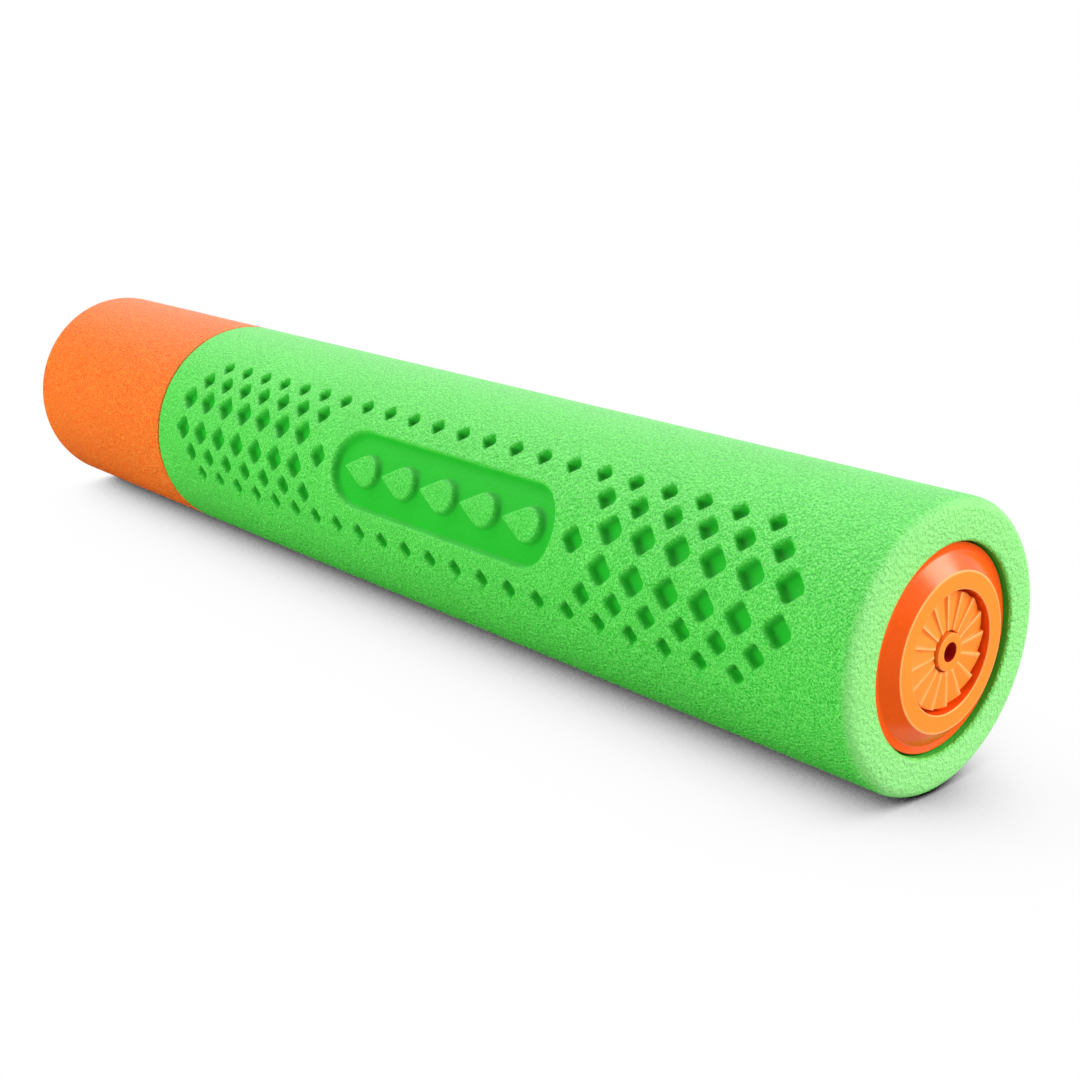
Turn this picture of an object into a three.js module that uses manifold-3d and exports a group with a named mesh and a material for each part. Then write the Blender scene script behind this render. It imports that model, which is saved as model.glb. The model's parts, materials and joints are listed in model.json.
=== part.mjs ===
// A foam water squirter: a barrel in a foam tube, with a plunger that is drawn out by its foam handle.
// Millimetres, +Z up. The tube lies on the floor along X, with its nozzle towards +X.
// The origin is on the floor, under the middle of the squirter.

import * as THREE from "three";
import { mergeVertices } from "three/addons/utils/BufferGeometryUtils.js";
import Module from "manifold-3d";

const wasm = await Module();
wasm.setup();

// Clearances
const FIT = 0.3; // between pieces that are pressed, snapped or glued together
const RUNNING = 0.3; // round pieces that slide or turn
const SEAL_FIT = 0.15; // round the sealing rings

// Facets of the round pieces, with one facet facing straight down
const FACETS = 36;
const SMALL_FACETS = 24;

// The two foam tubes
const FOAM_WALL = 7.1;
const BODY_LENGTH = 210.3;
const HANDLE_LENGTH = 66.4;
const SEAM_GAP = 0.3;
const END_ROUNDING = 1.6; // outer edge of each free end
const SEAM_ROUNDING = 0.5; // outer edges at the seam
const BORE_ROUNDING = 0.6; // edge of the bore at the nozzle

// The barrel
const BARREL_BORE = 32;
const BARREL_WALL = 1.6;

// The nozzle cap
const NOZZLE_PROUD = 1; // how far its flat ring stands out of the foam
const NOZZLE_FLANGE_RECESS = 1.25;
const NOZZLE_FLANGE_THICKNESS = 3;
const NOZZLE_SPIGOT_LENGTH = 8;
const NOZZLE_SPIGOT_WALL = 1.8; // inside the sealing groove
const NOZZLE_WALL = 2;
const FLANGE_LEDGE = 1.4; // widths from the flange inwards: its ledge, the cone and the flat ring
const CONE_WIDTH = 2.8;
const FLAT_RING_WIDTH = 3;
const RECESS_DEPTH = 4.4;
const NOZZLE_TUBE_DIAMETER = 6.3;
const NOZZLE_TUBE_SINK = 0.35; // its end below the flat ring
const NOZZLE_HOLE = 3.3;

// The vane ring
const VANES = 16;
const VANE_TIP_GAP = 0.6;
const VANE_HEIGHT = 0.7;
const VANE_SINK = 0.85; // ridges below the flat ring
const VANE_PHASE = 6.5; // degrees from +Y to the first ridge

// The sealing rings
const SEAL_SECTION = 2.6;
const SEAL_SECTION_POINTS = 8;

// The rear cap
const REAR_CAP_RECESS = 0.6;
const REAR_FLANGE_THICKNESS = 3;
const REAR_SPIGOT_LENGTH = 8;
const REAR_SPIGOT_WALL = 1.8;
const GUIDE_LENGTH = 14.6;
const GUIDE_WALL = 2.4;
const VENTS = 4;
const VENT_DIAMETER = 3;

// The piston
const PISTON_GAP = 0.6; // to the nozzle cap when the plunger is home
const PISTON_LENGTH = 20;
const GROOVE_INSET = 3.2; // from each end of the piston to its groove
const RETAINER_LEDGE = 3.7; // how far the retainer reaches round the swivel's pocket
const RETAINER_THICKNESS = 4.7;

// The rod and its plugs
const ROD_DIAMETER = 12;
const ROD_WALL = 1.5;
const SWIVEL_HEAD_DIAMETER = 12;
const SWIVEL_HEAD_LENGTH = 4;
const SWIVEL_NECK_DIAMETER = 8;
const COLLAR_DIAMETER = 17;
const COLLAR_LENGTH = 2;
const FRONT_PLUG_LENGTH = 14;
const END_PLUG_FLOOR = 7.6; // solid part beyond the screw's hole

// The stop bumper
const BUMPER_WALL = 4.7;
const BUMPER_LENGTH = 6;
const BUMPER_ROUNDING = 1;

// The handle's core, fastener and end cap
const CORE_RECESS = 0.4;
const CORE_DISC_THICKNESS = 3;
const CORE_WALL = 1.8;
const SOCKET_DEPTH = 30;
const SOCKET_WALL = 2.4;
const SOCKET_FLOOR = 3;
const WASHER_DIAMETER = 10;
const WASHER_THICKNESS = 1;
const SCREW_DIAMETER = 3.5;
const SCREW_LENGTH = 15;
const SCREW_POINT = 2;
const SCREW_HEAD_DIAMETER = 7.6;
const SCREW_HEAD_LENGTH = 2.4;
const SCREW_SLOT_WIDTH = 1.1;
const SCREW_SLOT_LENGTH = 4.6;
const SCREW_SLOT_DEPTH = 1.3;
const END_CAP_RECESS = 0.8;
const END_FLANGE_THICKNESS = 2.6;
const END_SPIGOT_LENGTH = 6;
const END_SPIGOT_WALL = 1.6;
const END_RIM = 5.6; // flat rim round the end cap's dish
const END_DISH_DEPTH = 1;

// The stamped field: diamonds on a lattice round a plaque, on two opposite sides of the body
const FIELD_ANGLES = [20.3, 200.3]; // degrees from -Y, upwards on the near side
const FIELD_SHIFT = -1.45; // middle of the field from the middle of the body
const DIAMOND_PITCH = 8;
const DIAMOND_DEPTH = 1.8;
const FIELD_END_MARGIN = 11.5; // least distance from the first or last diamond to a foam end
const CENTRE_DIAMOND = 5.8; // diagonals of the diamonds
const INNER_DIAMOND = 6.4;
const MIDDLE_DIAMOND = 5;
const OUTER_DIAMOND = 4.2;
const INNER_ROW = 3.7; // distances of the rows from the field's centre line, round the foam
const MIDDLE_ROW = 8.95;
const OUTER_ROW = 13.4;
const PLAQUE_SHIFT = 2.75; // middle of the plaque from the middle of the body
const PLAQUE_LENGTH = 69;
const PLAQUE_WIDTH = 16.6;
const PLAQUE_DEPTH = 1.6;
const PLAQUE_MARGIN = 7.5; // the rows beside the plaque stop this far from its ends
const DROP_RADIUS = 3.6;
const DROP_TAIL = 7.4; // from the middle of a drop's round head to its point
const DROP_PITCH = 12.6;
const DROP_SINK = 0.2; // top of the raised drops below the foam's surface
const CUTTER_REACH = 1.5; // how far a cutter stands out of the surface that it cuts

// Radii that pieces share
const BARREL_RADIUS = BARREL_BORE / 2 + BARREL_WALL;
const FOAM_BORE_RADIUS = BARREL_RADIUS + FIT;
const FOAM_RADIUS = FOAM_BORE_RADIUS + FOAM_WALL;
const SPIGOT_RADIUS = BARREL_BORE / 2 - FIT;
const SEAL_RADIUS = BARREL_BORE / 2 - SEAL_FIT;
const SEAL_INNER_RADIUS = SEAL_RADIUS - SEAL_SECTION;
const GROOVE_RADIUS = SEAL_INNER_RADIUS - SEAL_FIT;
const GROOVE_WIDTH = SEAL_SECTION + 2 * FIT;
const CONE_BASE_RADIUS = BARREL_RADIUS - FLANGE_LEDGE;
const CONE_TOP_RADIUS = CONE_BASE_RADIUS - CONE_WIDTH;
const RECESS_RADIUS = CONE_TOP_RADIUS - FLAT_RING_WIDTH;
const ROD_RADIUS = ROD_DIAMETER / 2;
const ROD_BORE_RADIUS = ROD_RADIUS - ROD_WALL;
const PLUG_RADIUS = ROD_BORE_RADIUS - FIT;
const GUIDE_BORE_RADIUS = ROD_RADIUS + RUNNING;
const GUIDE_RADIUS = GUIDE_BORE_RADIUS + GUIDE_WALL;
const SWIVEL_POCKET_RADIUS = SWIVEL_HEAD_DIAMETER / 2 + RUNNING;
const RETAINER_RADIUS = SWIVEL_POCKET_RADIUS + RETAINER_LEDGE;
const NECK_RADIUS = SWIVEL_NECK_DIAMETER / 2;
const SOCKET_RADIUS = ROD_RADIUS + FIT;
const SCREW_RADIUS = SCREW_DIAMETER / 2;
const SCREW_HOLE_RADIUS = SCREW_RADIUS + FIT;
const AXIS_HEIGHT = FOAM_RADIUS * Math.cos(Math.PI / FACETS);

// Places along X, from the nozzle to the rear
const NOZZLE_FACE = (NOZZLE_PROUD + BODY_LENGTH + SEAM_GAP + HANDLE_LENGTH) / 2;
const BODY_FRONT = NOZZLE_FACE - NOZZLE_PROUD;
const BODY_REAR = BODY_FRONT - BODY_LENGTH;
const HANDLE_FRONT = BODY_REAR - SEAM_GAP;
const HANDLE_REAR = HANDLE_FRONT - HANDLE_LENGTH;
const RECESS_FLOOR = NOZZLE_FACE - RECESS_DEPTH;
const NOZZLE_TUBE_FRONT = NOZZLE_FACE - NOZZLE_TUBE_SINK;
const FLANGE_FRONT = BODY_FRONT - NOZZLE_FLANGE_RECESS;
const FLANGE_REAR = FLANGE_FRONT - NOZZLE_FLANGE_THICKNESS;
const SPIGOT_REAR = FLANGE_REAR - NOZZLE_SPIGOT_LENGTH;
const NOZZLE_SEAL_PLACE = FLANGE_REAR - NOZZLE_SPIGOT_LENGTH / 2;
const REAR_FLANGE_BACK = BODY_REAR + REAR_CAP_RECESS;
const REAR_FLANGE_FRONT = REAR_FLANGE_BACK + REAR_FLANGE_THICKNESS;
const PISTON_FRONT = SPIGOT_REAR - PISTON_GAP;
const PISTON_REAR = PISTON_FRONT - PISTON_LENGTH;
const FRONT_GROOVE_PLACE = PISTON_FRONT - GROOVE_INSET - GROOVE_WIDTH / 2;
const REAR_GROOVE_PLACE = PISTON_REAR + GROOVE_INSET + GROOVE_WIDTH / 2;
const RETAINER_FRONT = PISTON_REAR + RETAINER_THICKNESS;
const SWIVEL_REAR = RETAINER_FRONT + FIT;
const SWIVEL_FRONT = SWIVEL_REAR + SWIVEL_HEAD_LENGTH;
const COLLAR_FRONT = PISTON_REAR - FIT;
const COLLAR_REAR = COLLAR_FRONT - COLLAR_LENGTH;
const ROD_FRONT = COLLAR_REAR - FIT;
const CORE_FRONT = HANDLE_FRONT - CORE_RECESS;
const SOCKET_BOTTOM = CORE_FRONT - SOCKET_DEPTH;
const SOCKET_REAR = SOCKET_BOTTOM - SOCKET_FLOOR;
const ROD_REAR = SOCKET_BOTTOM + FIT;
const WASHER_FRONT = SOCKET_REAR - FIT;
const SCREW_SEAT = WASHER_FRONT - WASHER_THICKNESS - FIT;
const SCREW_TIP = SCREW_SEAT + SCREW_LENGTH;
const END_FLANGE_BACK = HANDLE_REAR + END_CAP_RECESS;
const END_FLANGE_FRONT = END_FLANGE_BACK + END_FLANGE_THICKNESS;

// A round piece about the X axis. Its profile lists [radius, x] with the outside run from rear to front.
function turned(profile, facets = FACETS) {
  const points = profile.map(([radius, x]) => new THREE.Vector2(radius, x));
  const geometry = new THREE.LatheGeometry(points, facets, Math.PI / facets);
  return geometry.rotateZ(-Math.PI / 2);
}

// A ring about the X axis, with a square section.
function ring(inner, outer, rear, front, facets = FACETS) {
  const profile = [
    [inner, rear],
    [outer, rear],
    [outer, front],
    [inner, front],
    [inner, rear],
  ];
  return turned(profile, facets);
}

// A quarter round for an outer edge, from the rear face to the outside or from the outside to the front face.
function roundedEdge(radius, x, rounding, atFront, steps = 2) {
  const centre = [radius - rounding, atFront ? x - rounding : x + rounding];
  const start = atFront ? Math.PI / 2 : Math.PI;
  const points = [];
  for (let i = 0; i <= steps; i += 1) {
    const turn = start - (i / steps) * (Math.PI / 2);
    points.push([centre[0] + rounding * Math.sin(turn), centre[1] + rounding * Math.cos(turn)]);
  }
  return points;
}

// A groove for a sealing ring in an outside of the given radius, from rear to front.
function groove(radius, place) {
  return [
    [radius, place - GROOVE_WIDTH / 2],
    [GROOVE_RADIUS, place - GROOVE_WIDTH / 2],
    [GROOVE_RADIUS, place + GROOVE_WIDTH / 2],
    [radius, place + GROOVE_WIDTH / 2],
  ];
}

// A geometry as a solid that can be joined and cut.
function solid(geometry) {
  const bare = geometry.index ? geometry.toNonIndexed() : geometry.clone();
  bare.deleteAttribute("normal");
  bare.deleteAttribute("uv");
  const merged = mergeVertices(bare, 1e-3);
  return new wasm.Manifold(
    new wasm.Mesh({
      numProp: 3,
      vertProperties: merged.attributes.position.array,
      triVerts: new Uint32Array(merged.index.array),
    }),
  );
}

// A joined or cut solid as a geometry.
function shaped(body) {
  const mesh = body.getMesh();
  return new THREE.BufferGeometry()
    .setAttribute("position", new THREE.BufferAttribute(mesh.vertProperties, 3))
    .setIndex(new THREE.BufferAttribute(mesh.triVerts, 1));
}

// A flat outline pushed out of the foam: it stands at x, at an angle up from -Y, from one radius to another.
function stamp(outline, x, angle, innerRadius, outerRadius) {
  const depth = outerRadius - innerRadius;
  const geometry = new THREE.ExtrudeGeometry(outline, { depth, bevelEnabled: false, curveSegments: 8 });
  const along = new THREE.Vector3(1, 0, 0);
  const round = new THREE.Vector3(0, Math.sin(angle), Math.cos(angle));
  const out = new THREE.Vector3(0, -Math.cos(angle), Math.sin(angle));
  const place = new THREE.Matrix4().makeBasis(along, round, out);
  place.setPosition(out.multiplyScalar(innerRadius).setX(x));
  return solid(geometry.applyMatrix4(place));
}

// A square standing on its corner.
function diamondOutline(diagonal) {
  const half = diagonal / 2;
  const corners = [
    [half, 0],
    [0, half],
    [-half, 0],
    [0, -half],
  ];
  return new THREE.Shape(corners.map(([x, y]) => new THREE.Vector2(x, y)));
}

// A slot with round ends.
function plaqueOutline() {
  const half = PLAQUE_WIDTH / 2;
  const straight = PLAQUE_LENGTH / 2 - half;
  const outline = new THREE.Shape();
  outline.absarc(straight, 0, half, -Math.PI / 2, Math.PI / 2);
  outline.absarc(-straight, 0, half, Math.PI / 2, (3 * Math.PI) / 2);
  return outline;
}

// A water drop with its round head towards the nozzle.
function dropOutline() {
  const tangent = Math.PI - Math.acos(DROP_RADIUS / DROP_TAIL);
  const outline = new THREE.Shape();
  outline.moveTo(-DROP_TAIL, 0);
  outline.absarc(0, 0, DROP_RADIUS, -tangent, tangent);
  return outline;
}

// Where each diamond of a field lies: x, its distance round the foam from the centre line, and its diagonal.
function fieldDiamonds(bodyMiddle) {
  const half = DIAMOND_PITCH / 2;
  const middle = bodyMiddle + FIELD_SHIFT;
  const reach = BODY_LENGTH / 2 - Math.abs(FIELD_SHIFT) - FIELD_END_MARGIN;
  const columns = 2 * Math.floor((2 * reach) / DIAMOND_PITCH);
  const diamonds = [];
  for (let column = 0; column <= columns; column += 1) {
    const x = middle + (column - columns / 2) * half;
    const clear = Math.abs(x - bodyMiddle - PLAQUE_SHIFT) - PLAQUE_LENGTH / 2;
    const besidePlaque = clear >= PLAQUE_MARGIN;
    if (column % 2) {
      if (besidePlaque) diamonds.push([x, MIDDLE_ROW, MIDDLE_DIAMOND], [x, -MIDDLE_ROW, MIDDLE_DIAMOND]);
      continue;
    }
    if (besidePlaque) diamonds.push([x, INNER_ROW, INNER_DIAMOND], [x, -INNER_ROW, INNER_DIAMOND]);
    else if (clear > CENTRE_DIAMOND / 2) diamonds.push([x, 0, CENTRE_DIAMOND]);
    const atEnd = column === 0 || column === columns;
    if (!atEnd) diamonds.push([x, OUTER_ROW, OUTER_DIAMOND], [x, -OUTER_ROW, OUTER_DIAMOND]);
  }
  return diamonds;
}

// The sunk plaque with its raised drops, as the solid that is cut from the foam.
function plaqueCutter(bodyMiddle, angle) {
  const x = bodyMiddle + PLAQUE_SHIFT;
  const outside = FOAM_RADIUS + CUTTER_REACH;
  const floor = FOAM_RADIUS - PLAQUE_DEPTH;
  const deepest = floor * Math.cos(PLAQUE_WIDTH / 2 / FOAM_RADIUS) - CUTTER_REACH;
  const skin = solid(ring(floor, outside, BODY_REAR, BODY_FRONT));
  const relief = solid(ring(deepest, FOAM_RADIUS - DROP_SINK, BODY_REAR, BODY_FRONT));
  let cutter = stamp(plaqueOutline(), x, angle, deepest, outside).intersect(skin);
  const drops = Math.floor((PLAQUE_LENGTH - DROP_RADIUS) / DROP_PITCH);
  for (let drop = 0; drop < drops; drop += 1) {
    const centred = (drop - (drops - 1) / 2) * DROP_PITCH + (DROP_TAIL - DROP_RADIUS) / 2;
    const raised = stamp(dropOutline(), x + centred, angle, deepest, outside).intersect(relief);
    cutter = cutter.subtract(raised);
  }
  return cutter;
}

function bodyFoam() {
  const tube = turned([
    ...roundedEdge(FOAM_RADIUS, BODY_REAR, SEAM_ROUNDING, false, 1),
    ...roundedEdge(FOAM_RADIUS, BODY_FRONT, END_ROUNDING, true),
    [FOAM_BORE_RADIUS + BORE_ROUNDING, BODY_FRONT],
    [FOAM_BORE_RADIUS, BODY_FRONT - BORE_ROUNDING],
    [FOAM_BORE_RADIUS, BODY_REAR],
    [FOAM_RADIUS - SEAM_ROUNDING, BODY_REAR],
  ]);
  const bodyMiddle = (BODY_FRONT + BODY_REAR) / 2;
  let foam = solid(tube);
  for (const degrees of FIELD_ANGLES) {
    const angle = THREE.MathUtils.degToRad(degrees);
    for (const [x, row, diagonal] of fieldDiamonds(bodyMiddle)) {
      const outline = diamondOutline(diagonal);
      const turn = angle + row / FOAM_RADIUS;
      const floor = FOAM_RADIUS - DIAMOND_DEPTH;
      foam = foam.subtract(stamp(outline, x, turn, floor, FOAM_RADIUS + CUTTER_REACH));
    }
    foam = foam.subtract(plaqueCutter(bodyMiddle, angle));
  }
  return shaped(foam);
}

function handleFoam() {
  return turned([
    ...roundedEdge(FOAM_RADIUS, HANDLE_REAR, END_ROUNDING, false),
    ...roundedEdge(FOAM_RADIUS, HANDLE_FRONT, SEAM_ROUNDING, true, 1),
    [FOAM_BORE_RADIUS, HANDLE_FRONT],
    [FOAM_BORE_RADIUS, HANDLE_REAR],
    [FOAM_RADIUS - END_ROUNDING, HANDLE_REAR],
  ]);
}

function barrelTube() {
  return ring(BARREL_BORE / 2, BARREL_RADIUS, REAR_FLANGE_FRONT + FIT, FLANGE_REAR - FIT);
}

// The cap is a shell: its spigot goes into the barrel, and the nozzle tube stands in the front recess.
function nozzleCap() {
  const spigotBore = GROOVE_RADIUS - NOZZLE_SPIGOT_WALL;
  const insideFront = RECESS_FLOOR - NOZZLE_WALL;
  const tube = NOZZLE_TUBE_DIAMETER / 2;
  const hole = NOZZLE_HOLE / 2;
  const profile = [
    [spigotBore, SPIGOT_REAR],
    [SPIGOT_RADIUS, SPIGOT_REAR],
    ...groove(SPIGOT_RADIUS, NOZZLE_SEAL_PLACE),
    [SPIGOT_RADIUS, FLANGE_REAR],
    [BARREL_RADIUS, FLANGE_REAR],
    [BARREL_RADIUS, FLANGE_FRONT],
    [CONE_BASE_RADIUS, FLANGE_FRONT],
    [CONE_TOP_RADIUS, NOZZLE_FACE],
    [RECESS_RADIUS, NOZZLE_FACE],
    [RECESS_RADIUS, RECESS_FLOOR],
    [tube, RECESS_FLOOR],
    [tube, NOZZLE_TUBE_FRONT],
    [hole, NOZZLE_TUBE_FRONT],
    [hole, insideFront],
    [spigotBore, insideFront],
    [spigotBore, SPIGOT_REAR],
  ];
  return turned(profile);
}

// Each vane is a ramp that rises to a ridge: the ramps are joined to a flat ring and trimmed round.
function vaneRing() {
  const inner = NOZZLE_TUBE_DIAMETER / 2 + FIT;
  const outer = RECESS_RADIUS - VANE_TIP_GAP;
  const rear = RECESS_FLOOR + FIT;
  const ridge = NOZZLE_FACE - VANE_SINK;
  const valley = ridge - VANE_HEIGHT;
  const step = (2 * Math.PI) / VANES;
  const ramp = new THREE.Shape([
    new THREE.Vector2(rear, 0),
    new THREE.Vector2(ridge, 0),
    new THREE.Vector2(valley, outer * step),
    new THREE.Vector2(rear, outer * step),
  ]);
  let vanes = solid(ring(inner, outer, rear, valley));
  const trim = solid(ring(inner, outer, rear, ridge));
  for (let vane = 0; vane < VANES; vane += 1) {
    const angle = THREE.MathUtils.degToRad(VANE_PHASE) + vane * step;
    const out = new THREE.Vector3(0, Math.cos(angle), Math.sin(angle));
    const back = new THREE.Vector3(0, Math.sin(angle), -Math.cos(angle));
    const place = new THREE.Matrix4().makeBasis(new THREE.Vector3(1, 0, 0), back, out);
    const blade = new THREE.ExtrudeGeometry(ramp, { depth: outer + CUTTER_REACH, bevelEnabled: false });
    vanes = vanes.add(solid(blade.applyMatrix4(place)).intersect(trim));
  }
  return shaped(vanes);
}

// A sealing ring: a round section turned about the axis.
function sealRing(place) {
  const section = SEAL_SECTION / 2;
  const profile = [];
  for (let i = 0; i <= SEAL_SECTION_POINTS; i += 1) {
    const turn = Math.PI - ((i + 0.5) / SEAL_SECTION_POINTS) * 2 * Math.PI;
    profile.push([SEAL_RADIUS - section + section * Math.sin(turn), place + section * Math.cos(turn)]);
  }
  return turned(profile);
}

// The rear cap closes the barrel, guides the rod and lets the air out from behind the piston.
function rearCap() {
  const spigotBore = SPIGOT_RADIUS - REAR_SPIGOT_WALL;
  const cap = turned([
    [GUIDE_BORE_RADIUS, REAR_FLANGE_BACK],
    [BARREL_RADIUS, REAR_FLANGE_BACK],
    [BARREL_RADIUS, REAR_FLANGE_FRONT],
    [SPIGOT_RADIUS, REAR_FLANGE_FRONT],
    [SPIGOT_RADIUS, REAR_FLANGE_FRONT + REAR_SPIGOT_LENGTH],
    [spigotBore, REAR_FLANGE_FRONT + REAR_SPIGOT_LENGTH],
    [spigotBore, REAR_FLANGE_FRONT],
    [GUIDE_RADIUS, REAR_FLANGE_FRONT],
    [GUIDE_RADIUS, REAR_FLANGE_FRONT + GUIDE_LENGTH],
    [GUIDE_BORE_RADIUS, REAR_FLANGE_FRONT + GUIDE_LENGTH],
    [GUIDE_BORE_RADIUS, REAR_FLANGE_BACK],
  ]);
  const ventLength = REAR_FLANGE_THICKNESS + 2 * CUTTER_REACH;
  const ventPlace = (spigotBore + GUIDE_RADIUS) / 2;
  let vented = solid(cap);
  for (let vent = 0; vent < VENTS; vent += 1) {
    const angle = ((vent + 0.5) / VENTS) * 2 * Math.PI;
    const hole = new THREE.CylinderGeometry(VENT_DIAMETER / 2, VENT_DIAMETER / 2, ventLength, 12);
    hole.rotateZ(Math.PI / 2);
    hole.translate(
      (REAR_FLANGE_BACK + REAR_FLANGE_FRONT) / 2,
      ventPlace * Math.cos(angle),
      ventPlace * Math.sin(angle),
    );
    vented = vented.subtract(solid(hole));
  }
  return shaped(vented);
}

// The piston, with two sealing grooves and a pocket at the rear for the swivel head and its retainer.
function pistonHead() {
  const pocket = SWIVEL_POCKET_RADIUS;
  const seat = RETAINER_RADIUS + FIT;
  return turned([
    [0, SWIVEL_FRONT + FIT],
    [pocket, SWIVEL_FRONT + FIT],
    [pocket, RETAINER_FRONT + FIT],
    [seat, RETAINER_FRONT + FIT],
    [seat, PISTON_REAR],
    [SPIGOT_RADIUS, PISTON_REAR],
    ...groove(SPIGOT_RADIUS, REAR_GROOVE_PLACE),
    ...groove(SPIGOT_RADIUS, FRONT_GROOVE_PLACE),
    [SPIGOT_RADIUS, PISTON_FRONT],
    [0, PISTON_FRONT],
  ]);
}

function pistonRetainer() {
  return ring(NECK_RADIUS + RUNNING, RETAINER_RADIUS, PISTON_REAR, RETAINER_FRONT);
}

// The plug fills the rod's front end, and its swivel head is trapped in the piston.
function swivelPlug() {
  const profile = [
    [0, ROD_FRONT - FRONT_PLUG_LENGTH],
    [PLUG_RADIUS, ROD_FRONT - FRONT_PLUG_LENGTH],
    [PLUG_RADIUS, COLLAR_REAR],
    [COLLAR_DIAMETER / 2, COLLAR_REAR],
    [COLLAR_DIAMETER / 2, COLLAR_FRONT],
    [NECK_RADIUS, COLLAR_FRONT],
    [NECK_RADIUS, SWIVEL_REAR],
    [SWIVEL_HEAD_DIAMETER / 2, SWIVEL_REAR],
    [SWIVEL_HEAD_DIAMETER / 2, SWIVEL_FRONT],
    [0, SWIVEL_FRONT],
  ];
  return turned(profile, SMALL_FACETS);
}

function rodTube() {
  return ring(ROD_BORE_RADIUS, ROD_RADIUS, ROD_REAR, ROD_FRONT, SMALL_FACETS);
}

function stopBumper() {
  const rear = ROD_FRONT - BUMPER_LENGTH;
  const inner = ROD_RADIUS + FIT;
  const outer = inner + BUMPER_WALL;
  return turned(
    [
      [inner, rear],
      ...roundedEdge(outer, rear, BUMPER_ROUNDING, false, 1),
      ...roundedEdge(outer, ROD_FRONT, BUMPER_ROUNDING, true, 1),
      [inner, ROD_FRONT],
      [inner, rear],
    ],
    SMALL_FACETS,
  );
}

// The handle's core is a cup, open to the rear, with a socket for the rod on its front disc.
function handleCore() {
  const discRear = CORE_FRONT - CORE_DISC_THICKNESS;
  const sleeveRear = END_FLANGE_FRONT + FIT;
  const sleeveBore = BARREL_RADIUS - CORE_WALL;
  return turned([
    [SCREW_HOLE_RADIUS, SOCKET_REAR],
    [SOCKET_RADIUS + SOCKET_WALL, SOCKET_REAR],
    [SOCKET_RADIUS + SOCKET_WALL, discRear],
    [sleeveBore, discRear],
    [sleeveBore, sleeveRear],
    [BARREL_RADIUS, sleeveRear],
    [BARREL_RADIUS, CORE_FRONT],
    [SOCKET_RADIUS, CORE_FRONT],
    [SOCKET_RADIUS, SOCKET_BOTTOM],
    [SCREW_HOLE_RADIUS, SOCKET_BOTTOM],
    [SCREW_HOLE_RADIUS, SOCKET_REAR],
  ]);
}

// The plug in the rod's rear end takes the screw in a blind hole.
function rodEndPlug() {
  const holeEnd = SCREW_TIP + FIT;
  const profile = [
    [0, holeEnd],
    [SCREW_HOLE_RADIUS, holeEnd],
    [SCREW_HOLE_RADIUS, ROD_REAR],
    [PLUG_RADIUS, ROD_REAR],
    [PLUG_RADIUS, holeEnd + END_PLUG_FLOOR],
    [0, holeEnd + END_PLUG_FLOOR],
  ];
  return turned(profile, SMALL_FACETS);
}

function handleWasher() {
  const outer = WASHER_DIAMETER / 2;
  return ring(SCREW_HOLE_RADIUS, outer, WASHER_FRONT - WASHER_THICKNESS, WASHER_FRONT, SMALL_FACETS);
}

// A pan-head screw with a cross slot.
function handleScrew() {
  const headRear = SCREW_SEAT - SCREW_HEAD_LENGTH;
  const head = SCREW_HEAD_DIAMETER / 2;
  const profile = [
    [0, headRear],
    ...roundedEdge(head, headRear, SCREW_HEAD_LENGTH / 2, false),
    [head, SCREW_SEAT],
    [SCREW_RADIUS, SCREW_SEAT],
    [SCREW_RADIUS, SCREW_TIP - SCREW_POINT],
    [0, SCREW_TIP],
  ];
  let screw = solid(turned(profile, SMALL_FACETS));
  for (const turn of [0, Math.PI / 2]) {
    const slot = new THREE.BoxGeometry(2 * SCREW_SLOT_DEPTH, SCREW_SLOT_LENGTH, SCREW_SLOT_WIDTH);
    slot.rotateX(turn).translate(headRear, 0, 0);
    screw = screw.subtract(solid(slot));
  }
  return shaped(screw);
}

// The end cap's spigot goes into the core, and its outside has a shallow dish.
function handleEndCap() {
  const spigot = BARREL_RADIUS - CORE_WALL - FIT;
  const spigotBore = spigot - END_SPIGOT_WALL;
  const spigotFront = END_FLANGE_FRONT + END_SPIGOT_LENGTH;
  const dish = BARREL_RADIUS - END_RIM;
  return turned([
    [0, END_FLANGE_BACK + END_DISH_DEPTH],
    [dish - END_DISH_DEPTH, END_FLANGE_BACK + END_DISH_DEPTH],
    [dish, END_FLANGE_BACK],
    [BARREL_RADIUS, END_FLANGE_BACK],
    [BARREL_RADIUS, END_FLANGE_FRONT],
    [spigot, END_FLANGE_FRONT],
    [spigot, spigotFront],
    [spigotBore, spigotFront],
    [spigotBore, END_FLANGE_FRONT],
    [0, END_FLANGE_FRONT],
  ]);
}

// Finishes
const greenFoam = new THREE.MeshStandardMaterial({ color: 0x50d54c, roughness: 0.9, metalness: 0 });
const orangeFoam = new THREE.MeshStandardMaterial({ color: 0xfa732d, roughness: 0.9, metalness: 0 });
const orangePlastic = new THREE.MeshStandardMaterial({ color: 0xf4641c, roughness: 0.25, metalness: 0 });
const whitePlastic = new THREE.MeshStandardMaterial({ color: 0xeeeee8, roughness: 0.4, metalness: 0 });
const blackRubber = new THREE.MeshStandardMaterial({ color: 0x26282a, roughness: 0.8, metalness: 0 });
const zincSteel = new THREE.MeshStandardMaterial({ color: 0xb9bdc2, roughness: 0.35, metalness: 1 });

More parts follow.
